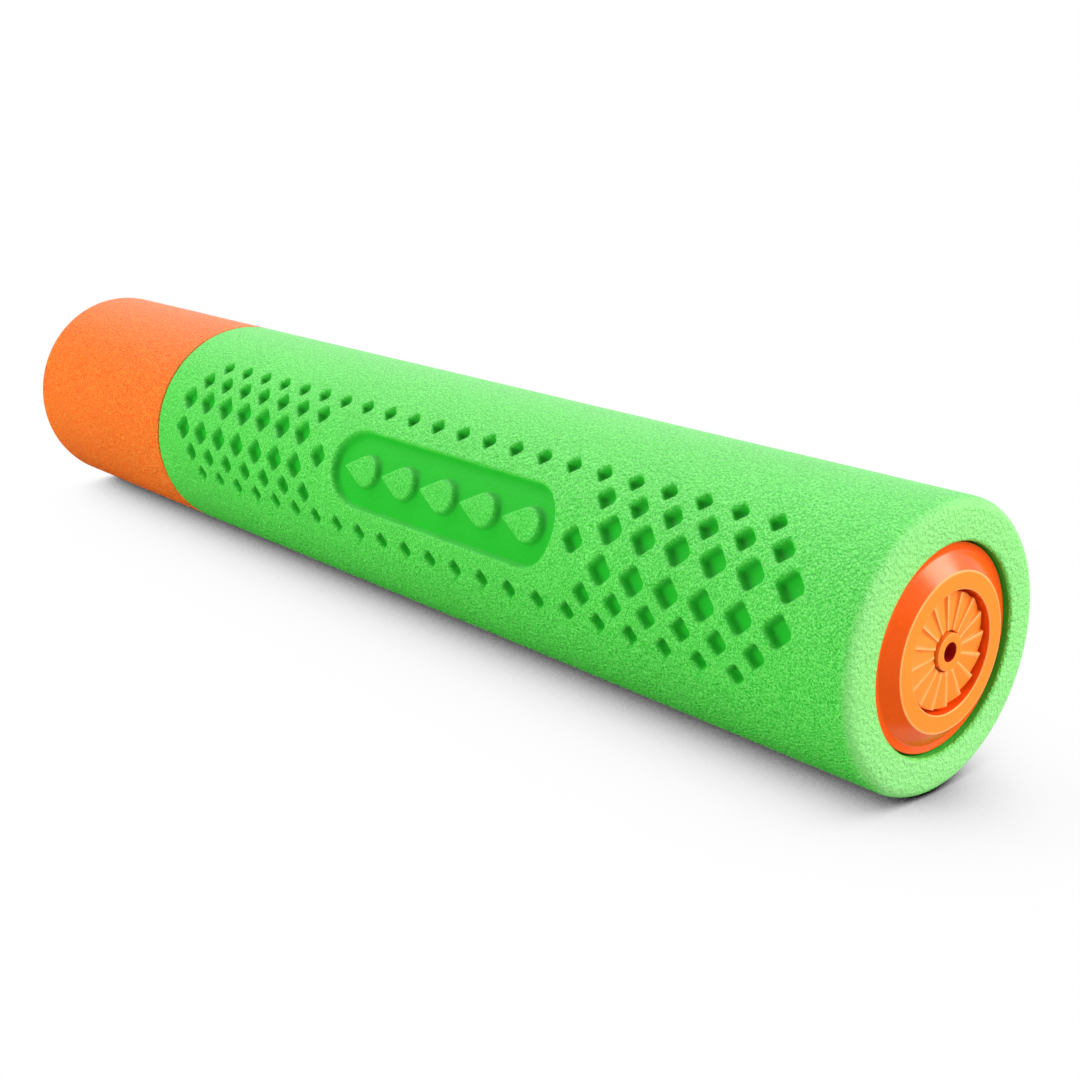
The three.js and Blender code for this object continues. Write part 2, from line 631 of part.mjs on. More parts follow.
// The assembly, on the tube's axis
const pieces = [
  ["body_foam", bodyFoam(), greenFoam],
  ["barrel_tube", barrelTube(), whitePlastic],
  ["nozzle_cap", nozzleCap(), orangePlastic],
  ["nozzle_seal", sealRing(NOZZLE_SEAL_PLACE), blackRubber],
  ["vane_ring", vaneRing(), orangePlastic],
  ["rear_cap", rearCap(), whitePlastic],
  ["piston_head", pistonHead(), whitePlastic],
  ["piston_seal_front", sealRing(FRONT_GROOVE_PLACE), blackRubber],
  ["piston_seal_rear", sealRing(REAR_GROOVE_PLACE), blackRubber],
  ["piston_retainer", pistonRetainer(), whitePlastic],
  ["swivel_plug", swivelPlug(), whitePlastic],
  ["rod_tube", rodTube(), whitePlastic],
  ["stop_bumper", stopBumper(), blackRubber],
  ["handle_core", handleCore(), whitePlastic],
  ["rod_end_plug", rodEndPlug(), whitePlastic],
  ["handle_washer", handleWasher(), zincSteel],
  ["handle_screw", handleScrew(), zincSteel],
  ["handle_end_cap", handleEndCap(), whitePlastic],
  ["handle_foam", handleFoam(), orangeFoam],
];

const squirter = new THREE.Group();
squirter.position.z = AXIS_HEIGHT;
for (const [name, geometry, material] of pieces) {
  const piece = new THREE.Mesh(geometry, material);
  piece.name = name;
  squirter.add(piece);
}

export default squirter;
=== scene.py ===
# Looks of a foam water squirter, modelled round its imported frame.
# Metres, +Z up. The tube lies on the floor along X, with its nozzle towards +X.

import json
import math

import bmesh
import bpy
import numpy as np
from mathutils import Matrix, Vector, noise


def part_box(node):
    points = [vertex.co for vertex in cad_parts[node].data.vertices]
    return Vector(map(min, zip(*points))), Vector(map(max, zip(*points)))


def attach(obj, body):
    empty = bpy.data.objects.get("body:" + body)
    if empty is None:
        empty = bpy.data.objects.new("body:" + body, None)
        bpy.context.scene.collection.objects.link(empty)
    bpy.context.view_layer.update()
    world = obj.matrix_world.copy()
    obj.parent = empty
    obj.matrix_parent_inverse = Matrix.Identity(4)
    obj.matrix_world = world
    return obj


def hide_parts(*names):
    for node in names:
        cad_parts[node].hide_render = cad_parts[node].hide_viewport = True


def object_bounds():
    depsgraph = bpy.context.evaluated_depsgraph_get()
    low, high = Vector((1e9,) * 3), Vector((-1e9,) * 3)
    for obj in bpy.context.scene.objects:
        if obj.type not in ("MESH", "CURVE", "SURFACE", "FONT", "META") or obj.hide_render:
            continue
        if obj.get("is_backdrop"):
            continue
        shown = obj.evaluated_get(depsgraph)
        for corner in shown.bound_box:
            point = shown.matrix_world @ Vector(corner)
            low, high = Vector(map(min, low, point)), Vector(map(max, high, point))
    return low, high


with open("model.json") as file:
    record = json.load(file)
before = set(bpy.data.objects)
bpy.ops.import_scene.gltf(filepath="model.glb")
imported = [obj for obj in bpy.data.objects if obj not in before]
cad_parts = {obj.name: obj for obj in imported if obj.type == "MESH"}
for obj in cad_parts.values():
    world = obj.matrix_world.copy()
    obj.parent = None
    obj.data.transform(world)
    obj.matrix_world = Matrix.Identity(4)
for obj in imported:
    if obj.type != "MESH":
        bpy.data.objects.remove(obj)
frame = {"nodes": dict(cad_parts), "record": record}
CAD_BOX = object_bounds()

bl_info = {
    "name": "Foam Water Squirter",
    "version": (1, 0, 0),
    "blender": (4, 5, 0),
    "location": "3D View > Sidebar > Squirter",
    "description": "Models and finishes a foam water squirter on its frame",
    "category": "Object",
}

MM = 0.001

# Sides of the round pieces
FOAM_STEPS = 100
PLASTIC_STEPS = 128
ROD_STEPS = 64
VENT_STEPS = 32

# How near points count as one, as in a place, as level with a face, and as on the foam's skin
MERGED = 0.0001 * MM
NEAR = 0.001 * MM
LEVEL = 0.01 * MM
ON_SKIN = 0.05 * MM

# How soon a stamped wall takes the pressed look and its painted shade, as a multiple of its share of the
# full depth
PRESSED_RISE = 3.0

# How far in a foam end looks cut, and how wide that fades at its rim, as shares of its rounding
CUT_REACH = 1.1
CUT_FADE = 0.3

# How far from a corner its painted highlight reaches, as a share of the corner's rounding
PAINTED_HIGHLIGHT_REACH = 0.8

# How much the large faces count in the shading against the small ones beside them: 50 is neutral
SHADING_WEIGHT = 60

# Slots of Blender's Mix node when it mixes colours
FACTOR, COLOUR_A, COLOUR_B, MIXED = 0, 6, 7, 2


# Places that come from the frame

def span(node):
    """Where a frame node begins and ends along X."""
    low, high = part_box(node)
    return low.x, high.x


def radius(node):
    """The radius of a round frame node, to the middle of its flats."""
    low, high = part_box(node)
    return (high.z - low.z) / 2


AXIS = (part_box("body_foam")[0].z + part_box("body_foam")[1].z) / 2
CENTRE = (0.0, 0.0, AXIS)
ALONG = (1.0, 0.0, 0.0)


# Properties

def linear(code):
    """An sRGB hex colour as linear red, green, blue and alpha."""
    parts = [int(code[i : i + 2], 16) / 255 for i in (1, 3, 5)]
    curved = [part / 12.92 if part <= 0.04045 else ((part + 0.055) / 1.055) ** 2.4 for part in parts]
    return (*curved, 1.0)


def length(name, description, millimetres, least=0.0):
    """A length, given in millimetres."""
    return bpy.props.FloatProperty(
        name=name,
        description=description,
        default=millimetres * MM,
        min=least * MM,
        precision=5,
        unit="LENGTH",
        subtype="DISTANCE",
    )


def angle(name, description, degrees):
    """An angle, given in degrees."""
    return bpy.props.FloatProperty(
        name=name,
        description=description,
        default=math.radians(degrees),
        unit="ROTATION",
        subtype="ANGLE",
    )


def colour(name, description, code):
    """A colour, given as sRGB hex."""
    return bpy.props.FloatVectorProperty(
        name=name,
        description=description,
        default=linear(code),
        min=0.0,
        max=1.0,
        size=4,
        subtype="COLOR",
    )


def count(name, description, number, least):
    """A whole number."""
    return bpy.props.IntProperty(name=name, description=description, default=number, min=least)


class SquirterFoam(bpy.types.PropertyGroup):
    """Sizes of the two foam tubes."""

    end_rounding: length("End rounding", "Rounding of the outer edge at each free end", 2.2)
    seam_rounding: length("Seam rounding", "Rounding of the outer edges at the seam", 0.5)
    bore_rounding: length("Bore rounding", "Rounding of the bore's edges", 0.6)
    facet: length("Facet", "Size of the mesh's faces along the tube", 1.56)
    swell: length("Swell", "How far the foam's surface wanders inwards", 0.05)
    swell_width: length("Swell width", "Width of the surface's swellings", 14.0)
    bore_gap: length("Bore gap", "Gap between a foam tube and the plastic inside it", 0.3)
    fine_cuts: count("Fine cuts", "Cuts across each face of the stamped fields", 4, least=0)


class SquirterField(bpy.types.PropertyGroup):
    """Sizes of the stamped field on each side of the body."""

    turn: angle("Turn", "Angle of the near field's middle, up from level", 20.3)
    shift: length("Shift", "Middle of the field from the middle of the body", -1.45, least=-50.0)
    pitch: length("Pitch", "Distance between the diamonds along a row", 8.0)
    depth: length("Depth", "Depth of the diamonds", 1.8)
    end_margin: length("End margin", "Least distance from a diamond to a foam end", 11.5)
    centre_diamond: length("Centre diamond", "Diagonal of the single diamonds beside the plaque", 5.8)
    inner_diamond: length("Inner diamond", "Diagonal of the inner rows' diamonds", 6.4)
    middle_diamond: length("Middle diamond", "Diagonal of the middle rows' diamonds", 5.0)
    outer_diamond: length("Outer diamond", "Diagonal of the outer rows' diamonds", 4.2)
    inner_row: length("Inner row", "Inner row's distance from the field's middle", 3.7)
    middle_row: length("Middle row", "Middle row's distance from the field's middle", 8.95)
    outer_row: length("Outer row", "Outer row's distance from the field's middle", 13.4)
    corner: length("Corner", "Rounding of the inner diamonds' corners, less in the smaller ones", 0.95)
    lip: length("Lip", "How far the foam dips outside a stamped edge", 0.15)
    wall: length("Wall", "How far a pocket's wall slopes inwards", 0.5)
    plaque_shift: length("Plaque shift", "Plaque's middle from the body's middle", 2.75, least=-50.0)
    plaque_length: length("Plaque length", "Length of the sunk plaque", 69.0)
    plaque_width: length("Plaque width", "Width of the sunk plaque", 16.6)
    plaque_depth: length("Plaque depth", "Depth of the sunk plaque", 1.6)
    plaque_margin: length("Plaque margin", "Distance from the plaque to the rows beside it", 7.5)
    drop_radius: length("Drop radius", "Radius of a raised drop's head", 3.6)
    drop_tail: length("Drop tail", "Distance from a drop's head to its point", 7.4)
    drop_pitch: length("Drop pitch", "Distance between the drops", 12.6)
    drop_sink: length("Drop sink", "Top of the drops below the foam's surface", 0.2)
    drop_lip: length("Drop lip", "How far a drop's foot spreads", 0.25)
    drop_wall: length("Drop wall", "How far a drop's wall slopes inwards", 0.35)


class SquirterPlastic(bpy.types.PropertyGroup):
    """Sizes of the moulded plastic pieces."""

    edge: length("Edge", "Rounding of the moulded edges", 0.25)
    fine_edge: length("Fine edge", "Rounding of the vanes and the nozzle tube", 0.12)
    ledge: length("Ledge", "Width of the flange round the cone", 1.4)
    flange: length("Flange", "Thickness of the nozzle cap's flange", 3.0)
    flange_depth: length("Flange depth", "Flange below the flat ring", 2.25)
    cone_width: length("Cone width", "Width of the cone, seen from the front", 2.8)
    ring_width: length("Ring width", "Width of the flat ring", 3.0)
    recess_depth: length("Recess depth", "Depth of the vanes' recess", 4.4)
    cap_wall: length("Cap wall", "Thickness of the recess's floor", 2.0)
    spigot_inset: length("Spigot inset", "Spigot inside the flange", 1.9)
    spigot_wall: length("Spigot wall", "Wall of the nozzle cap's spigot", 4.4)
    nozzle_radius: length("Nozzle radius", "Radius of the nozzle tube", 3.15)
    nozzle_hole: length("Nozzle hole", "Radius of the nozzle's hole", 1.65)
    nozzle_sink: length("Nozzle sink", "Nozzle tube below the flat ring", 0.35)
    vane_height: length("Vane height", "Height of a vane's ridge over its foot", 0.7)
    vane_draft: angle("Vane draft", "Slope of a vane's steep side, as an angle about the axis", 1.4)
    vane_phase: angle("Vane phase", "Angle of the first ridge, from +Y", 6.5)
    vanes: count("Vanes", "Number of vanes", 16, least=3)
    disc: length("Disc", "Thickness of the rear cap's and the handle core's discs", 3.0)
    guide_wall: length("Guide wall", "Wall of the sleeves round the rod", 2.4)
    fit_gap: length("Fit gap", "Gap between plastic pieces that fit into each other", 0.3)
    rod_wall: length("Rod wall", "Wall of the rod", 1.5)
    guide_length: length("Guide length", "Length of the rear cap's sleeve", 14.6)
    rear_spigot: length("Rear spigot", "Length of the rear cap's spigot", 8.0)
    rear_spigot_wall: length("Rear spigot wall", "Wall of the rear cap's spigot", 1.8)
    vents: count("Vents", "Number of vents in the rear cap", 4, least=2)
    vent_radius: length("Vent radius", "Radius of the vents", 1.5)
    socket_floor: length("Socket floor", "Thickness of the floor of the rod's socket", 3.0)
    socket_depth: length("Socket depth", "Depth of the rod's socket", 30.0)
    screw_hole: length("Screw hole", "Radius of the hole for the screw", 2.05)
    end_flange: length("End flange", "Thickness of the end cap's flange", 2.6)
    end_rim: length("End rim", "Width of the end cap's flat rim", 5.6)
    end_dish: length("End dish", "Depth of the end cap's dish", 1.0)
    end_spigot_inset: length("End spigot inset", "End cap's spigot inside its flange", 2.1)
    end_spigot_wall: length("End spigot wall", "Wall of the end cap's spigot", 1.6)


class SquirterColours(bpy.types.PropertyGroup):
    """Colours of the finishes."""

    green: colour("Green foam", "Skin of the body's foam", "#78FA6C")
    green_dark: colour("Green foam, cells", "Hollows of the body's grain", "#2CD02E")
    # The pressed green is partly the stamped foam's own deeper colour and partly painted shade of the
    # pockets and the bore
    green_pressed_and_shade: colour("Green foam, pressed", "Floor of the stamped pockets", "#16BC22")
    green_cut: colour("Green foam, cut", "Cut ends of the body's foam", "#9CFA8A")
    orange: colour("Orange foam", "Skin of the handle's foam", "#FFA03C")
    orange_dark: colour("Orange foam, cells", "Hollows of the handle's grain", "#FF4E06")
    orange_cut: colour("Orange foam, cut", "Cut ends of the handle's foam", "#FF9C58")
    cap: colour("Cap", "Polished orange plastic", "#FF5C10")
    vane: colour("Vanes", "Etched orange plastic", "#FF8E2A")
    # Painted highlight: this paler orange stands for the light caught along the cap's rounded edges and the
    # vanes' ridges
    edge: colour("Edge", "Thin edges of the orange plastic, which let light through", "#FFB468")
    # Painted shade: this dark red stands for the shade deep in the nozzle's hole
    bore: colour("Nozzle hole", "Wall of the nozzle's hole", "#B41418")
    white: colour("White plastic", "Caps, core and rod", "#DCDCD6")
    gloss: colour("Orange gloss", "Reflections in the orange plastic, which it warms a little", "#FFE0C0")
    rubber: colour("Rubber", "Seals and bumper", "#222426")
    zinc: colour("Zinc", "Screw and washer", "#B9BDC2")


# Finishes

FINISHES = {}
PLASTIC_INDEX = 1.49
WHITE = "#FFFFFF"
NO_TINT = linear(WHITE)


def node(tree, kind, inputs, **settings):
    """Adds a shader node with its settings, values and links, and returns its outputs."""
    made = tree.nodes.new("ShaderNode" + kind)
    for name, value in settings.items():
        setattr(made, name, value)
    for name, value in inputs.items():
        if isinstance(value, bpy.types.NodeSocket):
            tree.links.new(value, made.inputs[name])
        else:
            made.inputs[name].default_value = value
    return made.outputs


def new_material(name):
    """An empty material and its node tree."""
    material = bpy.data.materials.new(name)
    material.use_nodes = True
    tree = material.node_tree
    tree.nodes.clear()
    return material, tree


def closed_cell_foam(name, skin, cells, pressed, cut, index):
    """Closed-cell polyethylene foam, extruded with a skin and stamped with heat.

    Small cells give a matt, speckled skin. Heat closes them, so a stamped floor has less relief and a
    deeper colour, which is partly the heat-closed foam's own and partly painted shade of the pockets, and
    which is painted shade alone on the bore's wall. A cut end is paler, because its opened cells scatter
    the light.
    The index says how bright a sheen the skin has.
    """
    cell = 0.34 * MM
    cut_cell = 0.7 * MM
    blotch = 18 * MM
    relief_height = 0.45 * MM
    stamped_dullness = 0.35
    material, tree = new_material(name)
    place = node(tree, "TexCoord", {})["Object"]
    stamped = node(tree, "Attribute", {}, attribute_name="stamped")["Fac"]
    ends = node(tree, "Attribute", {}, attribute_name="cut")["Fac"]
    grain_inputs = {"Vector": place, "Scale": 1 / cell, "Detail": 2.0, "Roughness": 0.7}
    grain = node(tree, "TexNoise", grain_inputs)["Fac"]
    coarse_inputs = {"Vector": place, "Scale": 1 / cut_cell}
    coarse = node(tree, "TexVoronoi", coarse_inputs, feature="SMOOTH_F1")["Distance"]
    slow = node(tree, "TexNoise", {"Vector": place, "Scale": 1 / blotch, "Detail": 2.0})["Fac"]
    speckle = node(tree, "MapRange", {"Value": grain, "From Min": 0.4, "From Max": 0.6})["Result"]
    plain = node(tree, "Mix", {FACTOR: speckle, COLOUR_A: cells, COLOUR_B: skin}, data_type="RGBA")[MIXED]
    sunk = node(tree, "Mix", {FACTOR: stamped, COLOUR_A: plain, COLOUR_B: pressed}, data_type="RGBA")[MIXED]
    opened = node(tree, "MapRange", {"Value": speckle, "To Min": 0.7, "To Max": 1.0})["Result"]
    part = node(tree, "Math", {0: ends, 1: opened}, operation="MULTIPLY")["Value"]
    pale = node(tree, "Mix", {FACTOR: part, COLOUR_A: sunk, COLOUR_B: cut}, data_type="RGBA")[MIXED]
    cloud = node(tree, "MapRange", {"Value": slow, "To Min": 0.94, "To Max": 1.06})["Result"]
    shade = node(tree, "HueSaturation", {"Color": pale, "Value": cloud})["Color"]
    bumps = node(tree, "Math", {0: grain, 1: coarse}, operation="ADD")["Value"]
    strength = node(tree, "MapRange", {"Value": stamped, "To Min": 0.95, "To Max": 0.2})["Result"]
    relief_inputs = {"Height": bumps, "Strength": strength, "Distance": relief_height}
    relief = node(tree, "Bump", relief_inputs)["Normal"]
    open_matt = node(tree, "MapRange", {"Value": grain, "To Min": 0.22, "To Max": 0.5})["Result"]
    matt_inputs = {0: stamped, 1: stamped_dullness, 2: open_matt}
    matt = node(tree, "Math", matt_inputs, operation="MULTIPLY_ADD")["Value"]
    inputs = {"Base Color": shade, "Roughness": matt, "Normal": relief, "IOR": index}
    surface = node(tree, "BsdfPrincipled", inputs)["BSDF"]
    node(tree, "OutputMaterial", {"Surface": surface})
    return material


def moulded_plastic(name, tone, roughness, ripple, ripple_height, wear, zones=(), tint=NO_TINT):
    """Moulded plastic or rubber, with a faint ripple from the mould and dulled a little by handling.

    Zones are marked on the mesh and have a shade and a dullness of their own: an etched face scatters more
    light and looks paler, a rounded edge has a painted highlight, and a deep hole has painted shade.
    """
    flow_width = 6 * MM
    ripple_strength = 0.3
    material, tree = new_material(name)
    place = node(tree, "TexCoord", {})["Object"]
    flow = node(tree, "TexNoise", {"Vector": place, "Scale": 1 / flow_width, "Detail": 2.0})["Fac"]
    grain = node(tree, "TexNoise", {"Vector": place, "Scale": 1 / ripple, "Detail": 2.0})["Fac"]
    gloss_range = {"Value": grain, "To Min": roughness - wear, "To Max": roughness + wear}
    gloss = node(tree, "MapRange", gloss_range)["Result"]
    for mark, shade, dullness in zones:
        part = node(tree, "Attribute", {}, attribute_name=mark)["Fac"]
        tone = node(tree, "Mix", {FACTOR: part, COLOUR_A: tone, COLOUR_B: shade}, data_type="RGBA")[MIXED]
        gloss = node(tree, "Math", {0: part, 1: dullness, 2: gloss}, operation="MULTIPLY_ADD")["Value"]
    cloud = node(tree, "MapRange", {"Value": flow, "To Min": 0.95, "To Max": 1.05})["Result"]
    speck = node(tree, "MapRange", {"Value": grain, "To Min": 1 - wear, "To Max": 1 + wear})["Result"]
    light = node(tree, "Math", {0: cloud, 1: speck}, operation="MULTIPLY")["Value"]
    relief_inputs = {"Height": grain, "Strength": ripple_strength, "Distance": ripple_height}
    inputs = {
        "Base Color": node(tree, "HueSaturation", {"Color": tone, "Value": light})["Color"],
        "Roughness": gloss,
        "Normal": node(tree, "Bump", relief_inputs)["Normal"],
        "IOR": PLASTIC_INDEX,
        "Specular Tint": tint,
    }
    surface = node(tree, "BsdfPrincipled", inputs)["BSDF"]
    node(tree, "OutputMaterial", {"Surface": surface})
    return material


def zinc_plate(name, tone):
    """Zinc-plated steel: bright bluish metal with the faint cloud of the plating bath."""
    cloud_width = 2 * MM
    material, tree = new_material(name)
    place = node(tree, "TexCoord", {})["Object"]
    cloud = node(tree, "TexNoise", {"Vector": place, "Scale": 1 / cloud_width, "Detail": 3.0})["Fac"]
    light = node(tree, "MapRange", {"Value": cloud, "To Min": 0.85, "To Max": 1.05})["Result"]
    shade = node(tree, "HueSaturation", {"Color": tone, "Value": light})["Color"]
    gloss = node(tree, "MapRange", {"Value": cloud, "To Min": 0.28, "To Max": 0.42})["Result"]
    inputs = {"Base Color": shade, "Roughness": gloss, "Metallic": 1.0}
    surface = node(tree, "BsdfPrincipled", inputs)["BSDF"]
    node(tree, "OutputMaterial", {"Surface": surface})
    return material


def finish(context, slot):
    """The material of a record slot, made when it is first asked for."""
    if slot not in FINISHES:
        FINISHES[slot] = make_finish(context.scene.squirter_colours, slot)
    return FINISHES[slot]


def make_finish(tones, slot):
    """Makes the material of a record slot."""
    if slot == "green_foam":
        # The pressed green also paints shade: in the stamped pockets and on the bore's wall
        shades = tones.green, tones.green_dark, tones.green_pressed_and_shade, tones.green_cut
        return closed_cell_foam("stamped_polyethylene_foam_green", *shades, index=1.7)
    if slot == "orange_foam":
        # The handle has no stamps, so the cells' colour in the pressed place is only painted shade on its
        # bore's wall
        shades = tones.orange, tones.orange_dark, tones.orange_dark, tones.orange_cut
        return closed_cell_foam("polyethylene_foam_orange", *shades, index=1.35)
    if slot == "orange_gloss_plastic":
        return moulded_plastic(
            "polished_moulded_polypropylene",
            tones.cap,
            roughness=0.26,
            ripple=1.5 * MM,
            ripple_height=0.02 * MM,
            wear=0.04,
            # Zones: the etched front, a painted highlight along the rounded edges, and painted shade in the
            # nozzle's hole
            zones=[("etched", tones.vane, 0.25), ("edge", tones.edge, 0.1), ("painted_hole_shade", tones.bore, 0.2)],
            tint=tones.gloss,
        )
    if slot == "orange_matte_plastic":
        return moulded_plastic(
            "etched_moulded_polypropylene",
            tones.vane,
            roughness=0.5,
            ripple=0.35 * MM,
            ripple_height=0.06 * MM,
            wear=0.1,
            # The edge zone is a painted highlight along the vanes' ridges
            zones=[("edge", tones.edge, 0.0)],
        )
    if slot == "white_plastic":
        return moulded_plastic(
            "satin_moulded_polypropylene",
            tones.white,
            roughness=0.38,
            ripple=1.2 * MM,
            ripple_height=0.03 * MM,
            wear=0.06,
        )
    if slot == "black_rubber":
        return moulded_plastic(
            "moulded_nitrile_rubber",
            tones.rubber,
            roughness=0.7,
            ripple=0.4 * MM,
            ripple_height=0.05 * MM,
            wear=0.08,
        )
    if slot == "zinc_steel":
        return zinc_plate("zinc_plated_steel", tones.zinc)
    raise ValueError(f"no finish is made for the slot {slot}")


# Meshes

def spun(profile, steps, closed=True):
    """A round piece about the tube's axis, from the (x, radius) points of its profile."""
    shape = bmesh.new()
    points = [shape.verts.new((x, 0.0, AXIS + distance)) for x, distance in profile]
    ends = points[1:] + points[:1] if closed else points[1:]
    lines = [shape.edges.new(pair) for pair in zip(points, ends)]
    bmesh.ops.spin(
        shape,
        geom=points + lines,
        cent=CENTRE,
        axis=ALONG,
        angle=2 * math.pi,
        steps=steps,
        use_merge=True,
    )
    bmesh.ops.remove_doubles(shape, verts=shape.verts, dist=MERGED)
    bmesh.ops.recalc_face_normals(shape, faces=shape.faces)
    return shape


def distance_out(point):
    """How far a vertex lies from the tube's axis."""
    return math.hypot(point.co.y, point.co.z - AXIS)


def round_point(x, distance, turn):
    """The place at x, a distance from the tube's axis and a turn from +Y."""
    return Vector((x, distance * math.cos(turn), AXIS + distance * math.sin(turn)))


def edges_within(shape, points):
    """The edges that join two points of a set."""
    return [edge for edge in shape.edges if edge.verts[0] in points and edge.verts[1] in points]


def open_edges(shape):
    """The edges with a face on one side alone."""
    return [edge for edge in shape.edges if edge.is_boundary]


def ring_edges(shape, x, out):
    """The edges of the ring at x with the given radius."""
    level = [point for point in shape.verts if abs(point.co.x - x) < NEAR]
    return edges_within(shape, {point for point in level if abs(distance_out(point) - out) < NEAR})


def sharp_edges(shape, least=math.radians(25)):
    """The edges whose faces meet at more than the least angle."""
    return [edge for edge in shape.edges if edge.is_manifold and edge.calc_face_angle() > least]


def round_edges(shape, edges, size, segments=3):
    """Rounds edges off."""
    bmesh.ops.bevel(
        shape,
        geom=edges,
        offset=size,
        offset_type="OFFSET",
        segments=segments,
        profile=0.5,
        affect="EDGES",
        material=-1,
        clamp_overlap=True,
    )


def extruded(shape, edges):
    """Extrudes edges, without moving them yet, and returns the new points."""
    grown = bmesh.ops.extrude_edge_only(shape, edges=edges)["geom"]
    return [item for item in grown if isinstance(item, bmesh.types.BMVert)]


def repeat_round(shape, times):
    """Repeats a shape evenly about the tube's axis, until it is there so many times."""
    bmesh.ops.spin(
        shape,
        geom=shape.verts[:] + shape.edges[:] + shape.faces[:],
        cent=CENTRE,
        axis=ALONG,
        angle=2 * math.pi - 2 * math.pi / times,
        steps=times - 1,
        use_duplicate=True,
    )


def add_piece(context, name, shape, slot, body, stands_for):
    """Makes a finished piece from a shape and puts it on its body, in place of its frame node."""
    mesh = bpy.data.meshes.new(name)
    shape.to_mesh(mesh)
    shape.free()
    mesh.shade_smooth()
    mesh.materials.append(finish(context, slot))
    piece = bpy.data.objects.new(name, mesh)
    context.scene.collection.objects.link(piece)
    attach(piece, body)
    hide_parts(stands_for)
    return piece


def cut_away(context, piece, shape):
    """Cuts a shape out of a piece."""
    mesh = bpy.data.meshes.new("cutter")
    shape.to_mesh(mesh)
    shape.free()
    cutter = bpy.data.objects.new("cutter", mesh)
    context.scene.collection.objects.link(cutter)
    modifier = piece.modifiers.new("Cut", "BOOLEAN")
    modifier.operation = "DIFFERENCE"
    modifier.solver = "EXACT"
    modifier.object = cutter
    whole = piece.data
    piece.data = bpy.data.meshes.new_from_object(piece.evaluated_get(context.evaluated_depsgraph_get()))
    piece.data.name = piece.name
    piece.modifiers.clear()
    bpy.data.objects.remove(cutter)
    bpy.data.meshes.remove(mesh)
    bpy.data.meshes.remove(whole)


def even_shading(piece):
    """Keeps the flat faces flat beside their rounded edges."""
    modifier = piece.modifiers.new("Even shading", "WEIGHTED_NORMAL")
    modifier.weight = SHADING_WEIGHT


# Foam

def foam_tube(foam, free_end, seam_end, out, bore):
    """A foam tube with rounded edges and rings along its outside."""
    rear, front = sorted([free_end, seam_end])
    shape = spun([(rear, bore), (rear, out), (front, out), (front, bore)], FOAM_STEPS)
    roundings = [
        (free_end, out, foam.end_rounding),
        (free_end, bore, foam.bore_rounding),
        (seam_end, out, foam.seam_rounding),
    ]
    for x, distance, size in roundings:
        round_edges(shape, ring_edges(shape, x, distance), size, segments=5)
    outside = [edge for edge in shape.edges if min(map(distance_out, edge.verts)) > out - LEVEL]
    longways = [edge for edge in outside if edge.calc_length() > (front - rear) / 2]
    cuts = round((front - rear) / foam.facet) - 1
    bmesh.ops.subdivide_edges(shape, edges=longways, cuts=cuts, use_grid_fill=True)
    return shape


def field_diamonds(field, middle, body_length):
    """Where each diamond of a field lies: x, its distance round the foam and its diagonal."""
    reach = body_length / 2 - abs(field.shift) - field.end_margin
    columns = 2 * math.floor(2 * reach / field.pitch)
    diamonds = []
    for column in range(columns + 1):
        x = middle + field.shift + (column - columns / 2) * field.pitch / 2
        clear = abs(x - middle - field.plaque_shift) - field.plaque_length / 2
        beside_plaque = clear >= field.plaque_margin
        rows = []
        if column % 2:
            if beside_plaque:
                rows.append((field.middle_row, field.middle_diamond))
        else:
            if beside_plaque:
                rows.append((field.inner_row, field.inner_diamond))
            elif clear > field.centre_diamond / 2:
                diamonds.append((x, 0.0, field.centre_diamond))
            if 0 < column < columns:
                rows.append((field.outer_row, field.outer_diamond))
        for row, diagonal in rows:
            diamonds.append((x, row, diagonal))
            diamonds.append((x, -row, diagonal))
    return diamonds


def pressed(distance, lip, wall):
    """How far a stamp has gone at a distance from its outline: 0 beyond its lip, 1 inside its wall."""
    part = np.clip((lip - distance) / (lip + wall), 0, 1)
    return part * part * (3 - 2 * part)


def diamond_distance(along, across, diagonal, corner):
    """Distance to the outline of a diamond with rounded corners, less than 0 inside it."""
    side = diagonal / math.sqrt(8) - corner
    one = np.abs(along + across) / math.sqrt(2) - side
    other = np.abs(along - across) / math.sqrt(2) - side
    outside = np.hypot(np.maximum(one, 0), np.maximum(other, 0))
    return outside + np.minimum(np.maximum(one, other), 0) - corner


def plaque_distance(along, across, field):
    """Distance to the outline of the round-ended plaque, less than 0 inside it."""
    half = field.plaque_width / 2
    straight = field.plaque_length / 2 - half
    return np.hypot(np.maximum(np.abs(along) - straight, 0), across) - half


def drop_distance(along, across, field):
    """Distance to the outline of a drop with its head at 0 and its tail to -X, less than 0 inside it."""
    sine = field.drop_radius / field.drop_tail
    cosine = math.sqrt(1 - sine * sine)
    head = np.hypot(along, across) - field.drop_radius
    side = np.abs(across) * cosine - (along + field.drop_tail) * sine
    tangent = along * cosine + np.abs(across) * sine
    point = np.hypot(along + field.drop_tail, across)
    beyond = (along + field.drop_tail) * cosine + np.abs(across) * sine < 0
    return np.where(tangent > 0, head, np.where(beyond, point, side))


